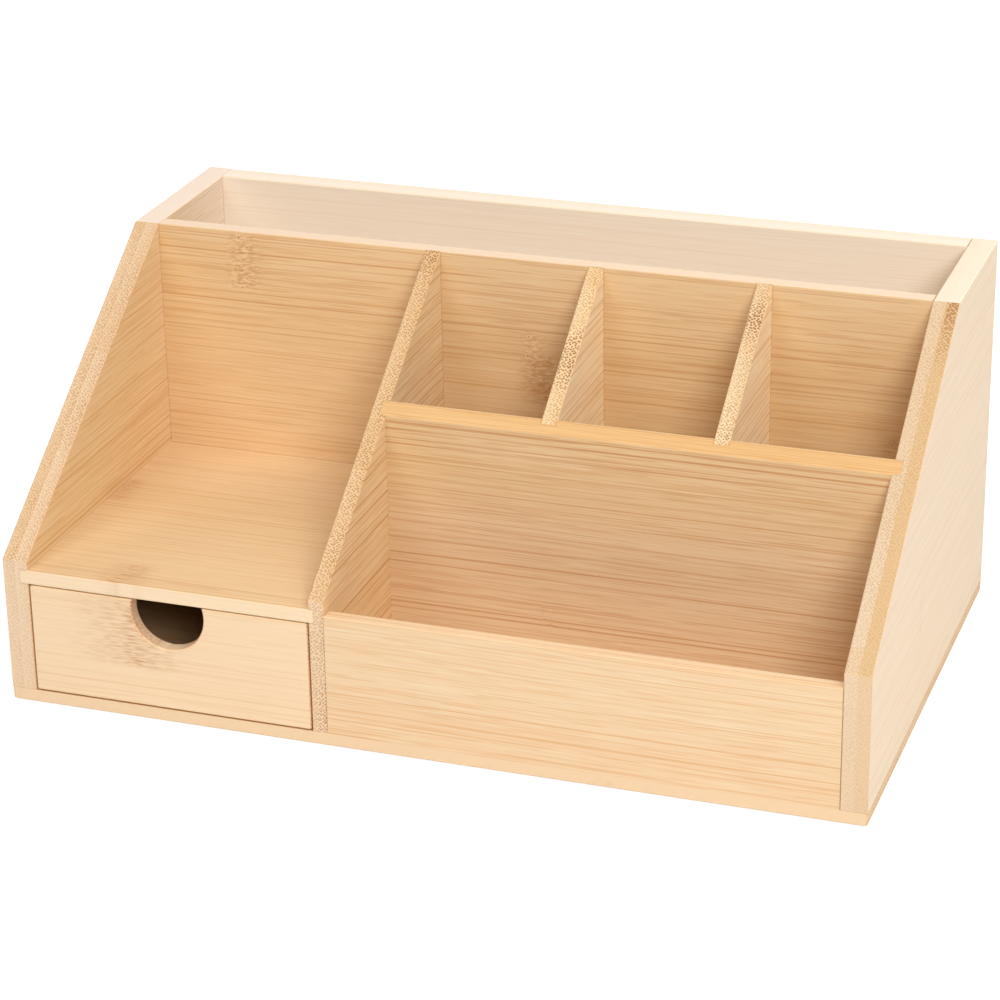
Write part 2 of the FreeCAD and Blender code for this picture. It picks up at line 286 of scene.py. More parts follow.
def makePlaceGroup():
    # 1 at a place in the board, falling to 0 at its reach in each direction
    tree, given, result = newGroup(
        "placeMask", "ShaderNodeTree",
        [("Board", vector), ("Centre", vector), ("Reach", vector)], [("Mask", number)])
    away = addNode(tree, vectorMaths, (given["Board"], given["Centre"]), operation="SUBTRACT")
    away = addNode(tree, vectorMaths, (away, given["Reach"]), operation="DIVIDE")
    away = addNode(tree, vectorMaths, (away,), operation="ABSOLUTE")
    parts = addNode(tree, separate, (away,)).outputs
    mask = addNode(tree, mapRange, (parts[0], 0.0, 1.0, 1.0, 0.0), **smooth)
    for part in parts[1:]:
        side = addNode(tree, mapRange, (part, *placeEdge, 1.0, 0.0), **smooth)
        mask = addNode(tree, maths, (mask, side), operation="MULTIPLY")
    tree.links.new(mask.outputs[0], result["Mask"])
    return tree


culmLook = {
    "pitSpacing": 4.2, "pitScatter": 5.0,      # across the grain, and along it
    "pitMiddle": (0.5, 0.25), "pitRadius": (0.3, 0.3),         # (spread, least) of the draws
    "pitEdge": (0.4, 1.2), "rimEdge": (1.2, 2.2),              # in radii
    "shown": (0.2, 0.5),                       # pits fade in between these values of the mask
    "swirl": (4.0, 5.0), "bend": 2.2,          # how the fibres swerve beside the pits
    "stroke": (2.6, 0.9), "strokeFall": 1.6,   # short strokes, closer to the middle of the node
    # strokes: (ink, noise from and to, share)
    "inks": (("nodeDark", 0.46, 0.68, 0.55), ("node", 0.46, 0.34, 0.45)),
    "rimShare": 0.4, "pitShare": 0.65,
}


def makeCulmGroup(placeGroup):
    # a culm node: a ragged row of small brown pits with pale rims, square to the grain
    tree, given, result = newGroup(
        "culmNode", "ShaderNodeTree",
        [("Board", vector), ("Centre", vector), ("Reach", vector), ("Strength", number)],
        [("Mask", number), ("Pit", number), ("Rim", number)])
    spacing = culmLook["pitSpacing"]
    away = addNode(tree, vectorMaths, (given["Board"], given["Centre"]), operation="SUBTRACT")
    away = addNode(tree, separate, (away,)).outputs
    lane = addNode(tree, maths, (away[1], spacing), operation="DIVIDE")
    index = addNode(tree, maths, (lane,), operation="FLOOR")
    lane = addNode(tree, maths, (lane,), operation="FRACT")
    centre = addNode(tree, separate, (given["Centre"],)).outputs
    key = addNode(tree, combine, (index, centre[0]))
    draws = addNode(tree, "ShaderNodeTexWhiteNoise", {"Vector": key}, **planar)
    draws = addNode(tree, "ShaderNodeSeparateColor", (draws.outputs["Color"],)).outputs
    shift = addNode(tree, maths, (draws[0], 0.5), operation="SUBTRACT")
    shift = addNode(tree, maths, (shift, -culmLook["pitScatter"], away[0]), operation="MULTIPLY_ADD")
    middle = addNode(tree, maths, (draws[1], *culmLook["pitMiddle"]), operation="MULTIPLY_ADD")
    lane = addNode(tree, maths, (lane, middle), operation="SUBTRACT")
    lane = addNode(tree, maths, (lane, spacing), operation="MULTIPLY")
    distance = addNode(tree, combine, (shift, lane))
    distance = addNode(tree, vectorMaths, (distance,), operation="LENGTH").outputs["Value"]
    size = addNode(tree, maths, (draws[2], *culmLook["pitRadius"]), operation="MULTIPLY_ADD")
    radii = addNode(tree, maths, (distance, size), operation="DIVIDE")
    mask = addNode(tree, grouped, {label: given[label] for label in ("Board", "Centre", "Reach")},
                   node_tree=placeGroup)
    shown = addNode(tree, mapRange, (mask, *culmLook["shown"], 0.0, 1.0))
    shown = addNode(tree, maths, (shown, given["Strength"]), operation="MULTIPLY")
    mask = addNode(tree, maths, (mask, given["Strength"]), operation="MULTIPLY")
    tree.links.new(mask.outputs[0], result["Mask"])
    for label, edge in (("Pit", culmLook["pitEdge"]), ("Rim", culmLook["rimEdge"])):
        part = addNode(tree, mapRange, (radii, *edge, 1.0, 0.0), **smooth)
        part = addNode(tree, maths, (part, shown), operation="MULTIPLY")
        tree.links.new(part.outputs[0], result[label])
    return tree


jointLook = {
    "reach": 0.6,                              # a neighbour as near as this touches the face
    "line": (0.05, 0.42),                      # dark up to the first distance, gone at the second
    "squareOn": 0.05,                          # how far from an axis a face may turn
    "far": -1000.0,                            # takes the axis a face looks along out of the distance
}


def makeJointGroup():
    # 1 where a neighbour board touches, seen as a thin line round the contact: painted shade of the gap
    # between the boards, with a little glue
    labels = ("Point", "Facing", "Centre", "Half")
    tree, given, result = newGroup("jointShade", "ShaderNodeTree",
                                   [(label, vector) for label in labels], [("Mask", number)])
    away = addNode(tree, vectorMaths, (given["Point"], given["Centre"]), operation="SUBTRACT")
    away = addNode(tree, vectorMaths, (away,), operation="ABSOLUTE")
    away = addNode(tree, vectorMaths, (away, given["Half"]), operation="SUBTRACT")
    # on a face square to an axis only the distances along the face draw the line, and the
    # neighbour has to reach it
    facing = addNode(tree, vectorMaths, (given["Facing"],), operation="ABSOLUTE")
    facing = addNode(tree, vectorMaths, (facing, [jointLook["squareOn"]] * 3), operation="ADD")
    facing = addNode(tree, vectorMaths, (facing,), operation="FLOOR")
    depth = addNode(tree, vectorMaths, (away, facing), operation="DOT_PRODUCT").outputs["Value"]
    reaches = addNode(tree, maths, (depth, jointLook["reach"]), operation="LESS_THAN")
    flat = addNode(tree, vectorMaths, {"Vector": facing, "Scale": jointLook["far"]},
                   operation="SCALE")
    flat = addNode(tree, vectorMaths, (away, flat), operation="ADD")
    parts = addNode(tree, separate, (flat,)).outputs
    most = addNode(tree, maths, (parts[0], parts[1]), operation="MAXIMUM")
    most = addNode(tree, maths, (most, parts[2]), operation="MAXIMUM")
    most = addNode(tree, maths, (most,), operation="ABSOLUTE")
    mask = addNode(tree, mapRange, (most, *jointLook["line"], 1.0, 0.0), **smooth)
    mask = addNode(tree, maths, (mask, reaches), operation="MULTIPLY")
    tree.links.new(mask.outputs[0], result["Mask"])
    return tree


fibreGroup = makeFibreGroup(makeFibreLineGroup())
endGroup = makeEndGroup()
placeGroup = makePlaceGroup()
culmGroup = makeCulmGroup(placeGroup)
jointGroup = makeJointGroup()

bambooLook = {
    "pale": "eccea6", "deep": "dcb27b", "line": "b9722f",       # the long grain
    "lineStrength": 0.5, "contrast": 1.0,
    "stripWidth": 23.0, "stripStart": 0.0, "ply": 100.0, "plyStart": 0.0,
    "otherPly": None,                           # LESS_THAN: the front or left ply takes the other colours, another culm's, and plain bamboo where the other ply is painted paler
    "otherPale": "eccea6", "otherDeep": "dcb27b",               # GREATER_THAN: the back or right one
    "paintedLightTint": "fcebda",                          # painted light: a paler tint over places that sit in shade
    "node": "f3d9ae", "nodeDark": "b5733a", "pit": "7c4a20",    # at the culm's nodes
    "stain": "b5753f",                          # smudges beside a node
    "edgeHighlight": "f9e5c8", "edgeHighlightStrength": 0.0,    # long edges, painted paler: a painted highlight
    "end": "f1d8b2", "endDeep": "dfb583", "dot": "8f5e2c",      # cut ends
    "dotSize": 0.47, "dotStrength": 1.0, "plyTone": 0.0, "skinSide": 1.0,
    "slopeFoot": 0.0, "slopeStretch": 0.757,    # where an end starts to slope, and its extra length
    "foot": "fbe3cb", "footStrength": 0.5, "footDots": -0.3, "footBlend": 0.3,     # ends below it
    "edge": "f8ddb6", "rim": 1.6,               # sanded edges take more lacquer
    # painted shade where boards meet, with a little glue
    "jointShadeAndGlue": "7a4f2b", "jointShadeAndGlueStrength": 0.2,
    "roughness": 0.46, "toneRough": -0.06, "endRough": 0.12, "refraction": 1.5,
    "relief": (16.0, 0.6, 0.6), "reliefDepth": 0.04,            # fibres left by the sander
    "nodes": (), "stains": (), "dense": (), "coarse": (), "paintedLight": (), "neighbours": (),
}
smudgeLook = {
    "marks": ((5.0, 1.0), (9.0, 0.4)),          # length along the grain and width across it
    "range": (0.34, 0.64, 0.2, 1.0),            # noise from and to, strength from and to
    "strength": 1.3,
}
squareOn = {"end": (0.36, 0.5), "edgeHighlight": (0.36, 0.7)}       # a slope counts as a cut end

boardAxes = {
    # (grain, face): the places of along, across and through in X, Y, Z
    ("X", "Y"): (0, 2, 1),
    ("X", "Z"): (0, 1, 2),
    ("Y", "X"): (1, 2, 0),
}


def maskOf(tree, board, places):
    # the strongest of several place masks; each place is (centre, reach, strength)
    total = None
    for centre, reach, strength in places:
        mask = addNode(tree, grouped, {"Board": board, "Centre": centre, "Reach": reach},
                       node_tree=placeGroup)
        mask = addNode(tree, maths, (mask, strength), operation="MULTIPLY")
        total = addNode(tree, maths, (total, mask), operation="MAXIMUM") if total else mask
    return total


def makeBamboo(name, changes):
    # Laminated bamboo, planed and sanded, satin clear lacquer: pale straw with straight fibres,
    # brown dots on cut ends, culm nodes here and there, and a soft sheen
    look = {**bambooLook, **changes}
    colour = {key: linear(value) for key, value in look.items()
              if isinstance(value, str) and len(value) == 6}
    material = bpy.data.materials.new("laminated_bamboo_satin_lacquer." + name)
    material.use_nodes = True
    tree = material.node_tree
    tree.nodes.clear()
    place = addNode(tree, "ShaderNodeTexCoord").outputs
    point = addNode(tree, vectorMaths, {"Vector": place["Object"], "Scale": 1000.0},
                    operation="SCALE")
    xyz = addNode(tree, separate, (point,)).outputs
    axes = boardAxes[look["grain"], look["face"]]
    board = addNode(tree, combine, [xyz[i] for i in axes])
    along, across, through = (xyz[i] for i in axes)

    # culm nodes bend the fibres beside them
    culm = {}
    for centre, reach, strength in look["nodes"]:
        knot = addNode(tree, grouped,
                       {"Board": board, "Centre": centre, "Reach": reach, "Strength": strength},
                       node_tree=culmGroup)
        for label, part in knot.outputs.items():
            if label in culm:
                part = addNode(tree, maths, (culm[label], part), operation="MAXIMUM")
            culm[label] = part
    bent = board
    if culm:
        swirl = addNode(tree, vectorMaths, (board, perMm(*culmLook["swirl"], 1)), operation="MULTIPLY")
        swirl = addNode(tree, noise, {"Vector": swirl, "Scale": 1.0, "Detail": 0.0}, **planar)
        shift = addNode(tree, maths, (swirl, 0.5), operation="SUBTRACT")
        shift = addNode(tree, maths, (shift, culm["Mask"]), operation="MULTIPLY")
        shift = addNode(tree, maths, (shift, culmLook["bend"]), operation="MULTIPLY")
        bent = addNode(tree, combine, (None, shift, None))
        bent = addNode(tree, vectorMaths, (board, bent), operation="ADD")
    ply = addNode(tree, maths, (through, look["plyStart"]), operation="SUBTRACT")
    ply = addNode(tree, maths, (ply, look["ply"]), operation="DIVIDE")
    ply = addNode(tree, maths, (ply,), operation="FLOOR")
    seed = addNode(tree, maths, (ply, grainLook["plyStep"], look["seed"] * grainLook["boardStep"]),
                   operation="MULTIPLY_ADD")
    fibres = addNode(tree, grouped,
                     {"Board": bent, "Seed": seed, "Strip width": look["stripWidth"],
                      "Strip start": look["stripStart"]}, node_tree=fibreGroup).outputs
    tone = addNode(tree, maths, (fibres["Tone"], look["contrast"], 0.5), operation="MULTIPLY_ADD",
                   use_clamp=True)
    face = addNode(tree, mix, (tone, colour["deep"], colour["pale"]), **inColour)
    if look["otherPly"]:
        other = addNode(tree, mix, (tone, colour["otherDeep"], colour["otherPale"]), **inColour)
        isOther = addNode(tree, maths, (ply, 0.5), operation=look["otherPly"])
        face = addNode(tree, mix, (isOther, face, other), **inColour)
    # painted light: places that sit in shade are painted paler
    paintedLight = maskOf(tree, board, look["paintedLight"])
    if paintedLight:
        face = addNode(tree, mix, (paintedLight, face, colour["paintedLightTint"]), **inColour)
    lines = addNode(tree, maths, (fibres["Lines"], look["lineStrength"]), operation="MULTIPLY")
    dense = maskOf(tree, board, look["dense"])
    if dense:
        more = addNode(tree, maths, (dense, 1.0), operation="ADD")
        lines = addNode(tree, maths, (lines, more), operation="MULTIPLY", use_clamp=True)
    face = addNode(tree, mix, (lines, face, colour["line"]), **inColour)

    if culm:
        # short dark and pale strokes beside the pits
        strokes = addNode(tree, vectorMaths, (board, perMm(*culmLook["stroke"], 1)),
                          operation="MULTIPLY")
        strokes = addNode(tree, noise, {"Vector": strokes, "Scale": 1.0, "Detail": 1.0}, **planar)
        close = addNode(tree, maths, (culm["Mask"], culmLook["strokeFall"]), operation="POWER")
        for ink, least, most, share in culmLook["inks"]:
            stroke = addNode(tree, mapRange, (strokes, least, most, 0.0, share))
            stroke = addNode(tree, maths, (stroke, close), operation="MULTIPLY")
            face = addNode(tree, mix, (stroke, face, colour[ink]), **inColour)
        for part, ink, share in (("Rim", "node", "rimShare"), ("Pit", "pit", "pitShare")):
            amount = addNode(tree, maths, (culm[part], culmLook[share]), operation="MULTIPLY")
            face = addNode(tree, mix, (amount, face, colour[ink]), **inColour)
    stained = maskOf(tree, board, look["stains"])
    if stained:
        # blotches, broken up by the fibres
        smudge = None
        for length, width in smudgeLook["marks"]:
            layer = addNode(tree, vectorMaths, (board, perMm(length, width, 1)), operation="MULTIPLY")
            layer = addNode(tree, noise, {"Vector": layer, "Scale": 1.0, "Detail": 1.0}, **planar)
            layer = addNode(tree, mapRange, (layer, *smudgeLook["range"]))
            smudge = addNode(tree, maths, (smudge, layer), operation="MULTIPLY") if smudge else layer
        smudge = addNode(tree, maths, (smudge, smudgeLook["strength"]), operation="MULTIPLY")
        smudge = addNode(tree, maths, (smudge, stained), operation="MULTIPLY", use_clamp=True)
        face = addNode(tree, mix, (smudge, face, colour["stain"]), **inColour)

    normal = addNode(tree, separate, (place["Normal"],)).outputs
    if look["edgeHighlightStrength"]:
        # long edges are painted paler: a painted highlight
        edgeHighlight = addNode(tree, maths, (normal[axes[1]],), operation="ABSOLUTE")
        edgeHighlight = addNode(tree, mapRange, (edgeHighlight, *squareOn["edgeHighlight"], 0.0, look["edgeHighlightStrength"]))
        face = addNode(tree, mix, (edgeHighlight, face, colour["edgeHighlight"]), **inColour)

    # cut ends: where the surface faces along the grain
    faceOn = addNode(tree, maths, (normal[axes[0]],), operation="ABSOLUTE")
    isEnd = addNode(tree, mapRange, (faceOn, *squareOn["end"], 0.0, 1.0))
    stretch = look["slopeStretch"] if look["slopeFoot"] else 0.0
    slope = addNode(tree, maths, (across, look["slopeFoot"]), operation="SUBTRACT")
    slope = addNode(tree, maths, (slope, 0.0), operation="MAXIMUM")
    slope = addNode(tree, maths, (slope, stretch, across), operation="MULTIPLY_ADD")
    ends = addNode(tree, grouped,
                   {"Across": slope, "Depth": through, "Coarse": maskOf(tree, board, look["coarse"]),
                    "Dot size": look["dotSize"], "Ply start": look["plyStart"], "Ply": look["ply"],
                    "Ply tone": look["plyTone"], "Skin side": look["skinSide"], "Seed": look["seed"]},
                   node_tree=endGroup).outputs
    endTone = addNode(tree, maths, (ends["Tone"], 0.5), operation="ADD", use_clamp=True)
    endFace = addNode(tree, mix, (endTone, colour["endDeep"], colour["end"]), **inColour)
    dots = addNode(tree, maths, (ends["Dots"], look["dotStrength"]), operation="MULTIPLY",
                   use_clamp=True)
    if look["slopeFoot"]:
        # the upright front end below the slope
        foot, blend, share = look["slopeFoot"], look["footBlend"], look["footStrength"]
        isFoot = addNode(tree, mapRange, (across, foot - blend, foot + blend, share, 0.0))
        isFront = addNode(tree, maths, (along, 0.0), operation="LESS_THAN")
        isFoot = addNode(tree, maths, (isFoot, isFront), operation="MULTIPLY")
        endFace = addNode(tree, mix, (isFoot, endFace, colour["foot"]), **inColour)
        fewer = addNode(tree, maths, (isFoot, look["footDots"] / share, 1.0), operation="MULTIPLY_ADD")
        dots = addNode(tree, maths, (dots, fewer), operation="MULTIPLY")
    endFace = addNode(tree, mix, (dots, endFace, colour["dot"]), **inColour)
    whole = addNode(tree, mix, (isEnd, face, endFace), **inColour)

    # rounded and bevelled edges are toasted a little: their normal is neither straight on nor square
    turn = addNode(tree, maths, (normal[axes[2]], 2.0), operation="POWER")
    rest = addNode(tree, maths, (1.0, turn), operation="SUBTRACT")
    rim = addNode(tree, maths, (turn, rest), operation="MULTIPLY")
    rim = addNode(tree, maths, (rim, look["rim"]), operation="MULTIPLY", use_clamp=True)
    whole = addNode(tree, mix, (rim, whole, colour["edge"]), **inColour, blend_type="MULTIPLY")

    # thin dark lines where the neighbours touch: painted shade of the gap, with a little glue
    jointShadesAndGlue = None
    for neighbour in look["neighbours"]:
        low, high = (corner * 1000 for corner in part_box(neighbour))
        jointShadeAndGlue = addNode(tree, grouped,
                        {"Point": point, "Facing": place["Normal"], "Centre": (low + high) / 2,
                         "Half": (high - low) / 2}, node_tree=jointGroup)
        jointShadesAndGlue = addNode(tree, maths, (jointShadesAndGlue, jointShadeAndGlue), operation="MAXIMUM") if jointShadesAndGlue else jointShadeAndGlue
    if jointShadesAndGlue:
        faint = addNode(tree, maths, (jointShadesAndGlue, look["jointShadeAndGlueStrength"]), operation="MULTIPLY")
        whole = addNode(tree, mix, (faint, whole, colour["jointShadeAndGlue"]), **inColour)

    rough = addNode(tree, maths, (tone, look["toneRough"], look["roughness"]), operation="MULTIPLY_ADD")
    rough = addNode(tree, maths, (isEnd, look["endRough"], rough), operation="MULTIPLY_ADD")
    relief = addNode(tree, vectorMaths, (board, perMm(*look["relief"])), operation="MULTIPLY")
    relief = addNode(tree, noise, {"Vector": relief, "Scale": 1.0, "Detail": 0.0})
    bump = addNode(tree, "ShaderNodeBump",
                   {"Strength": 1.0, "Distance": look["reliefDepth"] / 1000, "Height": relief})
    shader = addNode(tree, "ShaderNodeBsdfPrincipled",
                     {"Base Color": whole, "Roughness": rough, "Normal": bump,
                      "IOR": look["refraction"]})
    addNode(tree, "ShaderNodeOutputMaterial", (shader,))
    return material


# One dictionary for each board. Places are (along, across, through): X, Z, Y for upright boards
# with the grain along X, X, Y, Z for flat ones, and Y, Z, X for sides and dividers

# The fronts, the upright ends below the slopes, the right side's outer ply and the long edges are
# painted paler than plain bamboo: a painted highlight.
boardPieces = {
    "base_board": {
        "grain": "X", "face": "Z", "seed": 1, "ply": 2.5, "stripWidth": 24.0,
        "pale": "d4ac7b", "deep": "cd9c68", "line": "d18e2b", "lineStrength": 0.32, "contrast": 0.75,
        "edgeHighlight": "f7e0c1", "edgeHighlightStrength": 0.65,
        "nodes": [((-60, 40, 4), (4, 11, 4), 0.8), ((95, -20, 2), (4, 11, 4), 0.8)],
        "stains": [((70, -101, 1.6), (5, 2, 1.4), 1.6)],
    },
    "left_side": {
        "grain": "Y", "face": "X", "seed": 2, "ply": 5.0, "plyStart": -165.0, "plyTone": 0.05,
        "otherPly": "LESS_THAN", "slopeFoot": 58.0,
        "pale": "ead1aa", "deep": "d9b47f", "lineStrength": 0.55, "contrast": 1.15,
        "edgeHighlight": "f0dccb", "edgeHighlightStrength": 0.95,
        "end": "e8d0b1", "endDeep": "d6af82", "dot": "a5682c", "dotStrength": 1.25,
        "footStrength": 0.42, "footDots": -0.55,
        # painted light: the inner face along the trough is painted paler, though it sits in shade
        "paintedLight": [((125, 100, -155), (125, 100, 4), 1.0)],
        "nodes": [((40, 60, -163), (5, 11, 2.6), 0.9), ((-30, 20, -163), (5, 11, 2.6), 0.7)],
        "neighbours": ["bay_shelf", "inner_back", "back_panel", "base_board"],
    },
    "right_side": {
        "grain": "Y", "face": "X", "seed": 7, "ply": 5.0, "plyStart": 155.0, "plyTone": -0.7,
        "skinSide": 0.3, "otherPly": "LESS_THAN", "slopeFoot": 58.0,
        # painted highlight: the outer ply is painted paler than plain bamboo
        "pale": "f1e1c5", "deep": "f0d0ae", "lineStrength": 0.2, "contrast": 0.7,
        "edgeHighlight": "f4e2cc", "edgeHighlightStrength": 0.85,
        "end": "e1d2c0", "endDeep": "d2b083", "dot": "9a6328", "dotStrength": 0.75,
        "footStrength": 0.35, "footDots": -0.5,
        "nodes": [((-20, 45, 163), (5, 11, 2.6), 0.5)],
        "coarse": [((29, 148, 163), (31, 26, 2.6), 1.6)],
        "neighbours": ["pocket_wall", "inner_back", "back_panel", "tray_front", "base_board"],
    },
    "back_panel": {
        "grain": "X", "face": "Y", "seed": 4, "ply": 5.0, "plyStart": 91.5, "otherPly": "GREATER_THAN",
        # painted light: the front ply is painted near white, though the trough wall sits in shade; the
        # back ply keeps plain bamboo
        "pale": "f9f2e4", "deep": "f5e5d0", "lineStrength": 0.1, "contrast": 0.4,
        "edgeHighlight": "f5e5d2", "edgeHighlightStrength": 0.9,
        "nodes": [((-70, 100, 99), (5, 12, 2.6), 0.8), ((60, 40, 99), (5, 11, 2.6), 0.9)],
        "neighbours": ["left_side", "right_side", "base_board"],
    },
    "inner_back": {
        "grain": "X", "face": "Y", "seed": 5, "stripStart": 9.0,
        "pale": "e8cca3", "deep": "d9ae78", "lineStrength": 0.42, "contrast": 0.85,
        "edgeHighlight": "efd5ba", "edgeHighlightStrength": 0.85,
        # painted light: the lower part is painted paler, against the shade and orange bounce there
        "paintedLight": [((-100, 48, 31), (150, 60, 6), 0.06)],
        "nodes": [((-119.5, 135.5, 31), (12, 13, 6), 0.9), ((0.5, 106, 31), (9, 14, 6), 0.8),
                  ((7.0, 101, 31), (8, 10, 6), 0.8), ((142, 88, 31), (6, 3, 6), 0.8)],
        "stains": [((3.5, 99, 31), (12, 10, 6), 0.55), ((142, 88, 31), (7, 5, 6), 0.4),
                   ((-115, 137, 31), (12, 11, 6), 0.2)],
        "dense": [((64, 100, 31), (115, 60, 6), 0.3), ((-100, 138, 31), (1200, 26, 6), 0.45)],
        "neighbours": ["left_side", "right_side", "centre_divider", "pen_divider_left",
                       "pen_divider_right", "bay_shelf", "base_board"],
    },
    "centre_divider": {
        "grain": "Y", "face": "X", "seed": 6, "ply": 6.0, "plyStart": -42.6, "slopeFoot": 58.0,
        "pale": "efd7b1", "deep": "e0b884", "lineStrength": 0.75, "contrast": 1.7,
        "end": "e8c9a0", "endDeep": "d5ab78", "dotStrength": 1.6, "footStrength": 0.45,
        "footDots": -0.15,
        "coarse": [((26, 146, -40), (12, 8, 6), 0.4)],
        "neighbours": ["bay_shelf", "pocket_wall", "inner_back", "tray_front", "base_board"],
    },
    "bay_shelf": {
        "grain": "X", "face": "Z", "seed": 8,
        "pale": "e8cda8", "deep": "dfb985", "lineStrength": 0.36, "contrast": 0.8,
        "edgeHighlight": "fbe6c9", "edgeHighlightStrength": 0.65,
        # painted light: the back of the shelf is painted paler, against the shade by the inner back
        "paintedLight": [((-100, 40, 52), (150, 60, 6), 0.08)],
        "nodes": [((-153, -20, 52), (4, 12, 6), 0.5)],
        "stains": [((-118, -94, 52), (13, 10, 6), 0.6), ((-152, -22, 52), (8, 11, 6), 0.4)],
        "dense": [((-99, -96, 52), (140, 5, 6), 0.8)],
        "neighbours": ["inner_back"],
    },
    "tray_front": {
        "grain": "X", "face": "Y", "seed": 9,
        "pale": "eed7b7", "deep": "e7c195", "line": "d18e2b", "lineStrength": 0.6, "contrast": 1.3,
        "jointShadeAndGlueStrength": 0.06,
        "neighbours": ["centre_divider", "right_side", "base_board"],
    },
    "pocket_wall": {
        "grain": "X", "face": "Y", "seed": 10,
        "pale": "e7cca4", "deep": "d5ad78", "lineStrength": 0.6, "contrast": 1.1,
        "rim": 3.0, "edge": "ffeac4",
        # painted light: the lower part is painted paler, so that its shade comes out flat
        "paintedLight": [((60, 20, -31), (1200, 60, 8), 0.16)],
        "nodes": [((26, 31, -31), (8, 5, 6), 0.4)],
        "dense": [((60, 99, -31), (1200, 5.5, 8), 0.3)],
        "neighbours": ["pen_divider_left", "pen_divider_right", "base_board"],
    },
    "pen_divider_left": {
        "grain": "Y", "face": "X", "seed": 11, "ply": 6.0, "plyStart": 23.0, "slopeFoot": 58.0,
        "pale": "fef0d3", "deep": "f7d19f", "lineStrength": 0.6, "contrast": 1.3,
        "jointShadeAndGlueStrength": 0.4,
        "end": "f0d7b0", "endDeep": "dfb57e", "dotStrength": 1.5,
        "coarse": [((-7, 124, 26), (16, 10, 6), 0.6)],
        "neighbours": ["inner_back", "base_board"],
    },
    "pen_divider_right": {
        "grain": "Y", "face": "X", "seed": 12, "ply": 6.0, "plyStart": 88.6, "slopeFoot": 58.0,
        "pale": "fff4d7", "deep": "f9d4a1", "lineStrength": 0.6, "contrast": 1.3,
        "end": "eedbb6", "endDeep": "ddb686", "dotStrength": 1.5,
        "coarse": [((15, 138, 91), (9, 6, 6), 0.7)],
        "neighbours": ["inner_back", "base_board"],
    },
    "drawer_front": {
        "grain": "X", "face": "Y", "seed": 13,
        "pale": "f4dec1", "deep": "eecca4", "line": "d18e2b", "lineStrength": 0.25, "contrast": 0.6,
        "end": "f3d6b8", "endDeep": "e2b68e",
        "stains": [((-113, 33, -99), (11, 13, 6), 0.6), ((-109, 29, -99), (19, 9, 6), 0.5),
                   ((-115, 35, -99), (30, 15, 6), 0.35)],
    },
    "drawer_wall_left": {
        "grain": "Y", "face": "X", "seed": 14,
        "neighbours": ["drawer_bottom", "drawer_back", "drawer_front"],
    },
    "drawer_wall_right": {
        "grain": "Y", "face": "X", "seed": 15,
        "neighbours": ["drawer_bottom", "drawer_back", "drawer_front"],
    },
    "drawer_back": {
        "grain": "X", "face": "Y", "seed": 16,
        "neighbours": ["drawer_bottom", "drawer_wall_left", "drawer_wall_right"],
    },
    "drawer_bottom": {
        "grain": "X", "face": "Z", "seed": 17, "ply": 1.0, "plyStart": 8.4,
        "neighbours": ["drawer_front", "drawer_wall_left", "drawer_wall_right", "drawer_back"],
    },
}

for pieceName, changes in boardPieces.items():
    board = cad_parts[pieceName]
    for slot in board.material_slots:
        slot.material = makeBamboo(pieceName, changes)
print("bamboo on", len(boardPieces), "boards")


# Brads: flat wire with a T head, driven from below and through the drawer walls

wireBrad = {
    "Wire width": 1.3, "Wire depth": 1.0, "Head width": 2.2, "Head height": 0.5, "Point": 2.2,
    "length": {"base_brads": 15.0, "drawer_brads": 12.0},
    "corner": 0.25, "cornerSteps": 3, "shankSteps": 9,
    "pointShare": 0.25,                        # the chisel point keeps this share of the wire
}
bradRows = {
    # (x, y) of the heads under the base, and whether the wire is wide along X
    "sides": ([(x, y) for x in (-160, 160) for y in (-65.15, 0.1, 63.25)], False),
    "divider": ([(-39.6, -65.15), (-39.6, 0.1)], False),
    "pen dividers": ([(26.0, 0.1), (91.6, 0.1)], False),
    "front and pocket wall": ([(x, y) for x in (-6.8, 58.8, 124.8) for y in (-98.75, -31.3)], True),
    "inner back and back": ([(x, y) for x in (-98.8, -6.8, 58.8, 124.8) for y in (31.75, 96.5)], True),
}
bradFoot = 0.3      # heads sit this deep in the underside
drawerBrads = {
    "y": 25.5, "heights": (21.33, 36.225),
    "heads": ((-154.2, 90), (-43.4, -90)),     # x, and the turn in degrees
}

steelLook = {
    "finish": "b9bcbd", "dull": "8d8f8e", "colourNoise": (0.35, 0.65),
    "cloudScale": 900.0, "cloudDetail": 2.0,   # clouds of about 1 mm
    "roughNoise": (0.3, 0.7), "roughness": (0.32, 0.5), "relief": 0.02, "reliefStrength": 0.4,
}


def makeSteel():
    # Zinc-coated steel wire, cut and pressed: light grey, slightly dull, with faint clouds
    material = bpy.data.materials.new("zinc_coated_steel_wire")
    material.use_nodes = True
    tree = material.node_tree
    tree.nodes.clear()
    place = addNode(tree, "ShaderNodeTexCoord").outputs["Object"]
    cloud = addNode(tree, noise, {"Vector": place, "Scale": steelLook["cloudScale"],
                                  "Detail": steelLook["cloudDetail"]})
    spread = addNode(tree, mapRange, (cloud, *steelLook["colourNoise"], 0.0, 1.0))
    finish = addNode(tree, mix,
                     (spread, linear(steelLook["finish"]), linear(steelLook["dull"])), **inColour)
    rough = addNode(tree, mapRange, (cloud, *steelLook["roughNoise"], *steelLook["roughness"]))
    bump = addNode(tree, "ShaderNodeBump",
                   {"Strength": steelLook["reliefStrength"], "Height": cloud,
                    "Distance": steelLook["relief"] / 1000})
    shader = addNode(tree, "ShaderNodeBsdfPrincipled",
                     {"Base Color": finish, "Metallic": 1.0, "Roughness": rough, "Normal": bump})
    addNode(tree, "ShaderNodeOutputMaterial", (shader,))
    return material


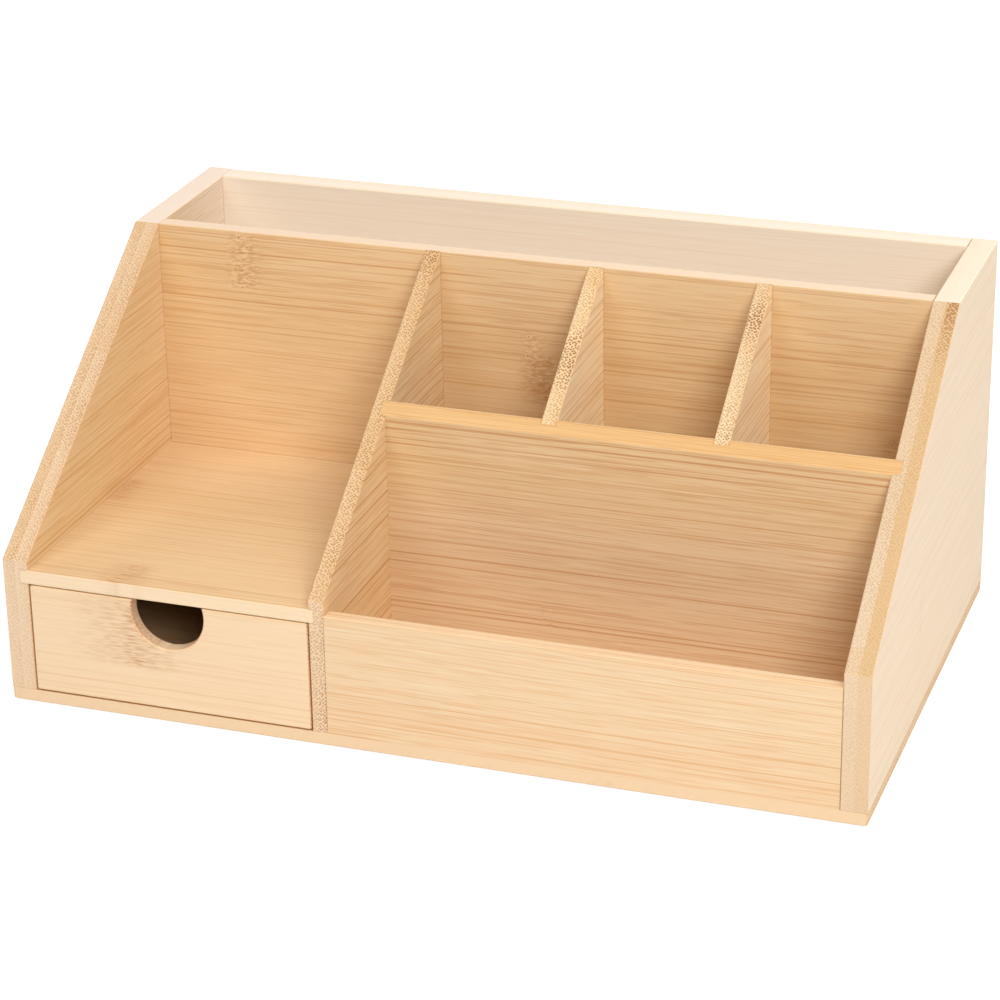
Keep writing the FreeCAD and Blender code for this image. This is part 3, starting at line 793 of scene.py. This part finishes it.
def makeBradTree(material):
    # points with a "turn" attribute in, one rounded flat-wire brad on each out
    labels = ("Wire width", "Wire depth", "Head width", "Head height", "Point", "Length")
    tree, given, result = newGroup(
        "wireBrads", "GeometryNodeTree",
        [("Geometry", geometry)] + [(label, number) for label in labels], [("Geometry", geometry)])
    profiles = []
    for width in ("Wire width", "Head width"):
        outline = addNode(tree, "GeometryNodeCurvePrimitiveQuadrilateral",
                          {"Width": given[width], "Height": given["Wire depth"]})
        profiles.append(addNode(tree, "GeometryNodeFilletCurve",
                                  {"Curve": outline, "Count": wireBrad["cornerSteps"],
                                 "Radius": wireBrad["corner"] / 1000}, mode="POLY"))
    top = addNode(tree, combine, (None, None, given["Length"]))
    shank = addNode(tree, "GeometryNodeCurvePrimitiveLine", (None, top))
    shank = addNode(tree, "GeometryNodeResampleCurve",
                    {"Curve": shank, "Count": wireBrad["shankSteps"]})
    # the wire thins to a chisel point over its last stretch
    run = addNode(tree, "GeometryNodeSplineParameter").outputs["Length"]
    left = addNode(tree, maths, (given["Length"], run), operation="SUBTRACT")
    left = addNode(tree, maths, (left, given["Point"]), operation="DIVIDE", use_clamp=True)
    least = wireBrad["pointShare"]
    thick = addNode(tree, maths, (left, 1 - least, least), operation="MULTIPLY_ADD")
    headTop = addNode(tree, combine, (None, None, given["Head height"]))
    head = addNode(tree, "GeometryNodeCurvePrimitiveLine", (None, headTop))
    shank = addNode(tree, "GeometryNodeCurveToMesh",
                    {"Curve": shank, "Profile Curve": profiles[0], "Scale": thick, "Fill Caps": True})
    head = addNode(tree, "GeometryNodeCurveToMesh",
                   {"Curve": head, "Profile Curve": profiles[1], "Fill Caps": True})
    brad = addNode(tree, "GeometryNodeJoinGeometry")
    for part in (shank, head):
        tree.links.new(part.outputs[0], brad.inputs[0])
    turn = addNode(tree, "GeometryNodeInputNamedAttribute", {"Name": "turn"},
                   data_type="FLOAT_VECTOR")
    turn = addNode(tree, "FunctionNodeEulerToRotation", (turn.outputs["Attribute"],))
    placed = addNode(tree, "GeometryNodeInstanceOnPoints",
                     {"Points": given["Geometry"], "Instance": brad, "Rotation": turn})
    solid = addNode(tree, "GeometryNodeRealizeInstances", (placed,))
    dressed = addNode(tree, "GeometryNodeSetMaterial", {"Geometry": solid, "Material": material})
    tree.links.new(dressed.outputs[0], result["Geometry"])
    return tree


def makeBrads(name, node, body, places, tree):
    # places: (head, turn) with the head's foot in mm and the brad's turn in degrees
    points = bpy.data.meshes.new(name)
    points.from_pydata([Vector(head) / 1000 for head, turn in places], [], [])
    turns = points.attributes.new("turn", "FLOAT_VECTOR", "POINT")
    for item, (head, turn) in zip(turns.data, places):
        item.vector = [math.radians(angle) for angle in turn]
    holder = bpy.data.objects.new(name, points)
    bpy.context.scene.collection.objects.link(holder)
    modifier = holder.modifiers.new("wireBrads", "NODES")
    modifier.node_group = tree
    sizes = {**wireBrad, "Length": wireBrad["length"][node]}
    for socket in tree.interface.items_tree:
        if socket.in_out == "INPUT" and socket.name in sizes:
            modifier[socket.identifier] = sizes[socket.name] / 1000
    evaluated = holder.evaluated_get(bpy.context.evaluated_depsgraph_get())
    mesh = bpy.data.meshes.new_from_object(evaluated)
    holder.modifiers.clear()
    holder.data = mesh
    bpy.data.meshes.remove(points)
    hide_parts(node)
    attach(holder, body)


bradTree = makeBradTree(makeSteel())
basePlaces = [((x, y, bradFoot), (0, 0, 0 if wideAlongX else 90))
              for row, wideAlongX in bradRows.values() for x, y in row]
wallPlaces = [((x, drawerBrads["y"], z), (0, turn, 0))
              for z in drawerBrads["heights"] for x, turn in drawerBrads["heads"]]
makeBrads("wire_brads_base", "base_brads", "carcass", basePlaces, bradTree)
makeBrads("wire_brads_drawer", "drawer_brads", "drawer", wallPlaces, bradTree)
print(len(basePlaces) + len(wallPlaces), "brads placed")


# Camera, light and floor

cameraView = {
    "aim": (-1.78, -6.15, 62.85), "distance": 1216.6,
    "azimuth": 19.333, "elevation": 23.679, "roll": -0.939,
    "lens": 114.77, "sensor": 36.0, "clip": (0.05, 30.0),
}


def outwardOf(azimuth, elevation):
    # the direction from the object to a place round it, in degrees, with azimuth 0 in front
    azimuth, elevation = math.radians(azimuth), math.radians(elevation)
    return Vector((math.sin(azimuth) * math.cos(elevation), -math.cos(azimuth) * math.cos(elevation),
                   math.sin(elevation)))


def makeCamera():
    back = outwardOf(cameraView["azimuth"], cameraView["elevation"])
    side = Vector((0, 0, 1)).cross(back).normalized()
    turned = Matrix((side, back.cross(side), back)).transposed().to_4x4()
    turned = turned @ Matrix.Rotation(math.radians(cameraView["roll"]), 4, "Z")
    data = bpy.data.cameras.new("studio_camera")
    data.lens = cameraView["lens"]
    data.sensor_width = cameraView["sensor"]
    data.sensor_fit = "HORIZONTAL"
    data.clip_start, data.clip_end = cameraView["clip"]
    camera = bpy.data.objects.new("studio_camera", data)
    place = (Vector(cameraView["aim"]) + back * cameraView["distance"]) / 1000
    camera.matrix_world = Matrix.Translation(place) @ turned
    bpy.context.scene.collection.objects.link(camera)
    bpy.context.scene.camera = camera


studioLight = {
    # lamp: (azimuth and elevation in degrees, distance and width in metres, watts)
    "key": (31, 32, 2.0, 0.8, 19.5),
    "right_softbox": (60, 52, 2.0, 1.2, 11.0),
    "left_softbox": (-30, 50, 2.0, 1.2, 15.0),
    "back_softbox": (180, 52, 2.0, 1.2, 7.0),
    "side_softbox": (90, 34, 2.0, 1.2, 4.6),
    "rear_softbox": (160, 22, 2.0, 1.2, 9.0),
    "far_softbox": (-100, 30, 2.0, 1.2, 6.0),
    "colour": "fffcf7", "ambient": 0.05, "aimHeight": 0.07,
}


def seenDirectly(tree):
    # 1 for camera, glossy and transmission rays
    ray = addNode(tree, "ShaderNodeLightPath").outputs
    seen = addNode(tree, maths, (ray["Is Camera Ray"], ray["Is Glossy Ray"]), operation="MAXIMUM")
    return addNode(tree, maths, (seen, ray["Is Transmission Ray"]), operation="MAXIMUM")


def makeLight():
    lamps = {name: lamp for name, lamp in studioLight.items() if isinstance(lamp, tuple)}
    for name, (azimuth, elevation, distance, width, power) in lamps.items():
        data = bpy.data.lights.new(name, "AREA")
        data.shape = "DISK"
        data.size, data.energy = width, power
        data.color = linear(studioLight["colour"])[:3]
        lamp = bpy.data.objects.new(name, data)
        outward = outwardOf(azimuth, elevation)
        place = Vector((0, 0, studioLight["aimHeight"])) + outward * distance
        turned = outward.to_track_quat("Z", "Y").to_matrix().to_4x4()
        lamp.matrix_world = Matrix.Translation(place) @ turned
        bpy.context.scene.collection.objects.link(lamp)
    world = bpy.data.worlds.new("studio")
    world.use_nodes = True
    tree = world.node_tree
    tree.nodes.clear()
    room = addNode(tree, "ShaderNodeBackground",
                   (linear(studioLight["colour"]), studioLight["ambient"]))
    backdrop = addNode(tree, "ShaderNodeBackground", ((1.0, 1.0, 1.0, 1.0), 1.0))
    shown = addNode(tree, "ShaderNodeMixShader", (seenDirectly(tree), room, backdrop))
    addNode(tree, "ShaderNodeOutputWorld", (shown,))
    bpy.context.scene.world = world


floorLook = {"half": 6.0, "drop": 0.0003, "paper": "e8e7e5", "seenPaper": "aaaaaa", "glow": 0.76}


def makeFloor():
    half, z = floorLook["half"], -floorLook["drop"]
    mesh = bpy.data.meshes.new("floor")
    corners = [(-half, -half, z), (half, -half, z), (half, half, z), (-half, half, z)]
    mesh.from_pydata(corners, [], [(0, 1, 2, 3)])
    floor = bpy.data.objects.new("floor", mesh)
    bpy.context.scene.collection.objects.link(floor)
    # Matt white paper sweep: it throws white light up, and is seen near white with a faint shadow
    material = bpy.data.materials.new("matt_paper_sweep")
    material.use_nodes = True
    tree = material.node_tree
    tree.nodes.clear()
    paper = addNode(tree, "ShaderNodeBsdfDiffuse", {"Color": linear(floorLook["paper"])})
    seen = addNode(tree, "ShaderNodeBsdfDiffuse", {"Color": linear(floorLook["seenPaper"])})
    glow = addNode(tree, "ShaderNodeEmission", {"Strength": floorLook["glow"]})
    shown = addNode(tree, "ShaderNodeAddShader", (seen, glow))
    mixed = addNode(tree, "ShaderNodeMixShader", (seenDirectly(tree), paper, shown))
    addNode(tree, "ShaderNodeOutputMaterial", (mixed,))
    mesh.materials.append(material)


makeCamera()
makeLight()
makeFloor()
bpy.context.scene.view_settings.view_transform = "Standard"
print("camera, light and floor made")
